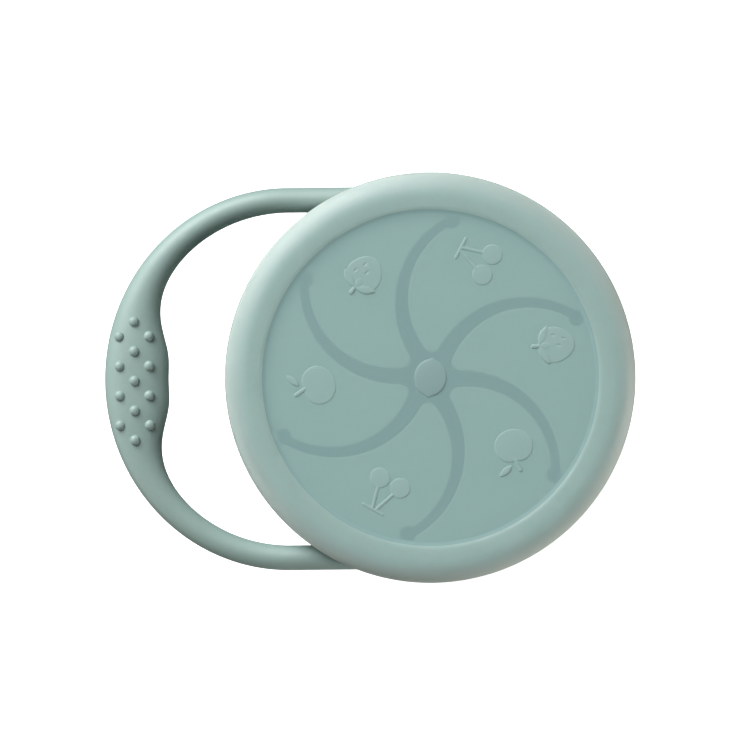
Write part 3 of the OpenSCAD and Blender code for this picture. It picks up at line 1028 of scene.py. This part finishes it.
# Profile turned round the axis, with the panel's top in its middle. The rim's inner half is an eased step
# plus a parabola that is level at the crest, and its outer half a quarter of an ellipse.
def buildCoverShell(look):
    top, reach = level["coverTop"], look["panelReach"]
    radius = np.linspace(reach, look["crest"], 40)
    step = look["stepRise"] * ease(np.clip((radius - look["stepStart"]) / look["stepRun"], 0, 1))
    share = np.clip((radius - look["stepStart"]) / (look["crest"] - look["stepStart"]), 0, 1)
    crown = (top - level["panelTop"] - look["stepRise"]) * (1 - (1 - share) ** 2)
    roll = arcPoints([look["crest"], top - look["rollDrop"]],
                     [look["outside"] - look["crest"], look["rollDrop"]], 90, 0, 28)
    slope = np.column_stack([radius, level["panelTop"] + step + crown])
    isClear = radius < look["clearReach"]
    foot = slope[:isClear.sum() + 1]
    seatIn, seatOut = look["seat"]
    seatFoot = level["lidTop"] + look["seatGap"]
    skirt = roundedSection([
        (*roll[-1], 0), (look["outside"], level["skirtFoot"], 0.7),
        (look["skirtInside"], level["skirtFoot"], 0.4), (look["skirtInside"], look["roof"], 1.8),
        (seatOut, look["roof"], 0.3), (seatOut - 0.2, seatFoot, 0.2), (seatIn, seatFoot, 0.2),
        (reach + 0.4, level["panelFoot"], 0.2), (reach, level["panelFoot"], 0)])
    outer = np.vstack([slope[isClear.sum():], roll[1:], skirt[1:]])
    under = np.column_stack([np.linspace(reach, 0, 18), np.full(18, level["panelFoot"])])
    around = [spin(section, look["sides"], finish=finish)
              for finish, section in enumerate((outer, foot, under))]
    return around + buildCoverPanel(look, reliefLook)


coverFinishes = [rimFinish, panelFinish, underFinish, figureFinish]
coverShell = makePiece("coverShell", buildCoverShell(coverLook), coverFinishes)
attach(coverShell, "cover")
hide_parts("dust_cover")


# Floor, lights and camera

studioLook = {
    "lamps": {             # sizes and distances in metres
        "key": dict(size=3.06, watts=220, colour=(1, 1, 1), azimuth=124, elevation=31, distance=3.6),
        "rightFill": dict(size=0.8, watts=15, colour=(1, 0.96, 0.92), azimuth=345, elevation=2, distance=1.6),
        "nearFill": dict(size=0.8, watts=8, colour=(1, 0.96, 0.92), azimuth=298, elevation=2, distance=1.6),
        "leftFill": dict(size=1, watts=5, colour=(1, 0.98, 0.95), azimuth=205, elevation=11, distance=1.6),
    },
    "aim": 60,             # height that the lamps point at
    "sky": (0.072, 0.072, 0.072),
    "ground": (0.02, 0.018, 0.016),
    "horizon": (0.5, 0.58),   # ground up to here and sky from here, from 0 straight down to 1 straight up
    "backdrop": (1, 1, 1),    # what the camera sees behind everything
    "floorReach": 3,       # metres
    "floorColour": (0.8, 0.8, 0.8),
    "floorRoughness": 0.9,
    "floorGlow": 1.1,
}


def areaLamp(name, size, watts, colour, azimuth, elevation, distance):
    lamp = bpy.data.lights.new(name, "AREA")
    lamp.shape = "DISK"
    lamp.size = size
    lamp.energy = watts
    lamp.color = colour
    holder = addObject(name, lamp)
    way = Vector((*polar(np.cos(np.radians(elevation)), azimuth), np.sin(np.radians(elevation))))
    holder.location = way * distance + Vector((0, 0, studioLook["aim"] * mm))
    holder.rotation_euler = way.to_track_quat("Z", "Y").to_euler()
    holder.visible_camera = False


for name, lamp in studioLook["lamps"].items():
    areaLamp(name + "Lamp", **lamp)

world = bpy.data.worlds.new("studio")
bpy.context.scene.world = world
world.use_nodes = True
nodes, links = world.node_tree.nodes, world.node_tree.links
nodes.clear()
direction, parts, band, sky = addNodes(nodes, "TexCoord", "SeparateXYZ", "ValToRGB", "Background")
backdrop, rayKind, choose, output = addNodes(nodes, "Background", "LightPath", "MixShader", "OutputWorld")
links.new(direction.outputs["Generated"], parts.inputs[0])
links.new(spread(nodes, links, parts.outputs["Z"], 0, 1, -1, 1), band.inputs[0])
for stop, place, name in zip(band.color_ramp.elements, studioLook["horizon"], ("ground", "sky")):
    stop.position = place
    stop.color = (*studioLook[name], 1)
links.new(band.outputs["Color"], sky.inputs["Color"])
links.new(rayKind.outputs["Is Camera Ray"], choose.inputs[0])
links.new(sky.outputs[0], choose.inputs[1])
links.new(backdrop.outputs[0], choose.inputs[2])
backdrop.inputs["Color"].default_value = (*studioLook["backdrop"], 1)
links.new(choose.outputs[0], output.inputs["Surface"])

floorMesh = bpy.data.meshes.new("floor")
reach = studioLook["floorReach"]
floorMesh.from_pydata([(-reach, -reach, 0), (reach, -reach, 0), (reach, reach, 0), (-reach, reach, 0)],
                      [], [(0, 1, 2, 3)])
floor = addObject("floor", floorMesh)
floorFinish = bpy.data.materials.new("paleFloor")
floorFinish.use_nodes = True
floorInputs = floorFinish.node_tree.nodes["Principled BSDF"].inputs
floorInputs["Base Color"].default_value = (*studioLook["floorColour"], 1)
floorInputs["Roughness"].default_value = studioLook["floorRoughness"]
floorInputs["Emission Strength"].default_value = studioLook["floorGlow"]
floorMesh.materials.append(floorFinish)
floor.visible_diffuse = floor.visible_glossy = floor.visible_shadow = False

cameraLook = {
    "centre": (-13.18, 0.53),
    "height": 1168.2,
    "turn": -0.62,
    "lens": 217.4,
}
camera = bpy.data.cameras.new("camera")
camera.lens = cameraLook["lens"]
viewer = addObject("camera", camera)
viewer.location = Vector((*cameraLook["centre"], cameraLook["height"])) * mm
viewer.rotation_euler = (0, 0, np.radians(cameraLook["turn"]))
bpy.context.scene.camera = viewer
bpy.context.scene.view_settings.view_transform = "Standard"
print("studio set")
